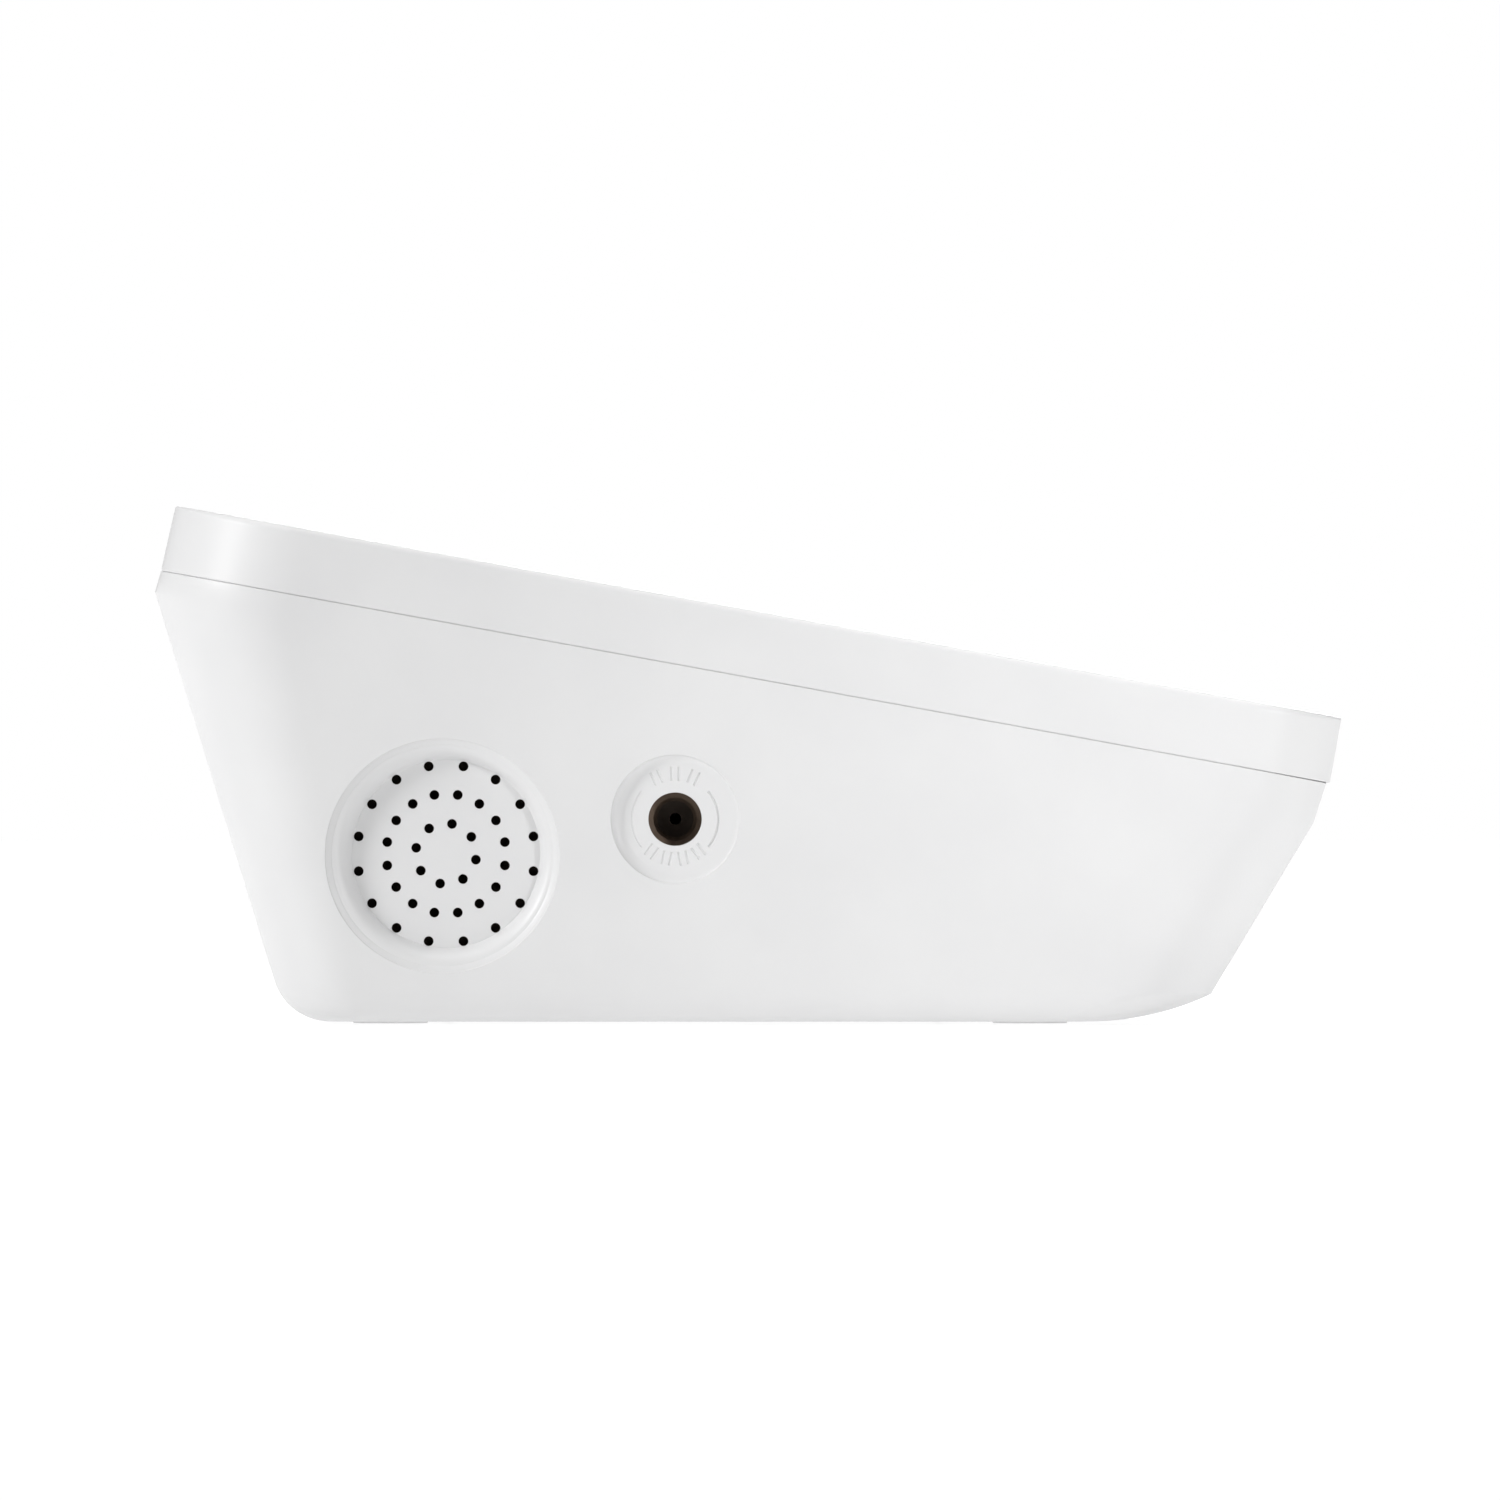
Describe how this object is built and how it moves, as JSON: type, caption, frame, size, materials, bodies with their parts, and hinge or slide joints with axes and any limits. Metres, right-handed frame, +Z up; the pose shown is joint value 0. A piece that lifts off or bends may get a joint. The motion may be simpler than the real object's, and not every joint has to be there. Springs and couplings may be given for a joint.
{
  "type": "blood pressure monitor",
  "caption": "Desktop upper-arm blood pressure monitor with a sloping display deck, press keys, side speaker grille, cuff air socket and a battery bay with a tilting door.",
  "frame": {"origin": "centre of the case's footprint box, on the surface the feet stand on", "axes": "+Z up, +Y towards the high back edge, +X towards the side without the speaker; the speaker and the cuff socket are on the -X side"},
  "size_m": [0.106, 0.1428, 0.0623],
  "materials": {
    "case_white": "satin",
    "window_smoked": "gloss",
    "key_blue": "satin",
    "key_grey": "satin",
    "foot_rubber": "matte",
    "plated_steel": "satin",
    "lcd_glass": "gloss",
    "backlight_white": "matte",
    "elastomer": "matte",
    "board_green": "satin",
    "part_black": "satin",
    "motor_steel": "satin",
    "crank_brass": "satin",
    "seal_rubber": "matte",
    "magnet_ferrite": "matte",
    "cone_paper": "matte",
    "silicone": "satin",
    "cell_jacket": "satin",
    "lead_insulation": "satin"
  },
  "bodies": {
    "case": {"air_manifold": "backlight_white", "board_screw_1": "plated_steel", "board_screw_2": "plated_steel", "case_screw_1": "plated_steel", "case_screw_2": "plated_steel", "case_screw_3": "plated_steel", "case_screw_4": "plated_steel", "cell_1": "cell_jacket", "cell_2": "cell_jacket", "cell_3": "cell_jacket", "cell_4": "cell_jacket", "contact_back_left": "plated_steel", "contact_back_right": "plated_steel", "contact_front_left": "plated_steel", "contact_front_middle": "plated_steel", "contact_front_right": "plated_steel", "controller_chip": "part_black", "cuff_socket": "part_black", "display_window": "window_smoked", "filter_capacitor": "plated_steel", "lcd_backlight": "backlight_white", "lcd_frame": "backlight_white", "lcd_panel": "lcd_glass", "lower_shell": "case_white", "main_board": "board_green", "memory_switch": "part_black", "power_inlet": "part_black", "pressure_sensor": "part_black", "pump_diaphragm": "seal_rubber", "pump_head": "part_black", "pump_hose": "silicone", "pump_lead": "lead_insulation", "pump_motor": "motor_steel", "pump_sleeve": "seal_rubber", "rubber_foot_1": "foot_rubber", "rubber_foot_2": "foot_rubber", "rubber_foot_3": "foot_rubber", "rubber_foot_4": "foot_rubber", "sensor_hose": "silicone", "set_switch": "part_black", "socket_hose": "silicone", "speaker_cone": "cone_paper", "speaker_frame": "motor_steel", "speaker_gasket": "seal_rubber", "speaker_lead": "lead_insulation", "speaker_magnet": "magnet_ferrite", "start_switch": "part_black", "upper_cover": "case_white", "valve_body": "motor_steel", "valve_hose": "silicone", "zebra_strip": "elastomer"},
    "start_key": {"start_key": "key_blue", "start_plunger": "plated_steel"},
    "memory_key": {"memory_key": "key_grey", "memory_plunger": "plated_steel"},
    "set_key": {"set_key": "key_grey", "set_plunger": "plated_steel"},
    "battery_door": {"battery_door": "case_white"},
    "pump_crank": {"pump_crank": "crank_brass"},
    "valve_plunger": {"valve_plunger": "plated_steel"}
  },
  "joints": [
    {"name": "start_press", "type": "slide", "parent": "case", "child": "start_key", "axis": [0, 0.1788, -0.9839], "range_m": [0, 0.0006], "stiffness_N_per_m": 2500},
    {"name": "memory_press", "type": "slide", "parent": "case", "child": "memory_key", "axis": [0, 0.1788, -0.9839], "range_m": [0, 0.0006], "stiffness_N_per_m": 2500},
    {"name": "set_press", "type": "slide", "parent": "case", "child": "set_key", "axis": [0, 0.1788, -0.9839], "range_m": [0, 0.0006], "stiffness_N_per_m": 2500},
    {"name": "door_tilt", "type": "hinge", "parent": "case", "child": "battery_door", "pos_m": [0, -0.0232, 0.00025], "axis": [-1, 0, 0], "range_deg": [0, 75]},
    {"name": "crank_turn", "type": "hinge", "parent": "case", "child": "pump_crank", "pos_m": [0, -0.041, 0.0154], "axis": [1, 0, 0], "continuous": true},
    {"name": "valve_close", "type": "slide", "parent": "case", "child": "valve_plunger", "axis": [0, 1, 0], "range_m": [0, 0.0012], "stiffness_N_per_m": 300}
  ]
}
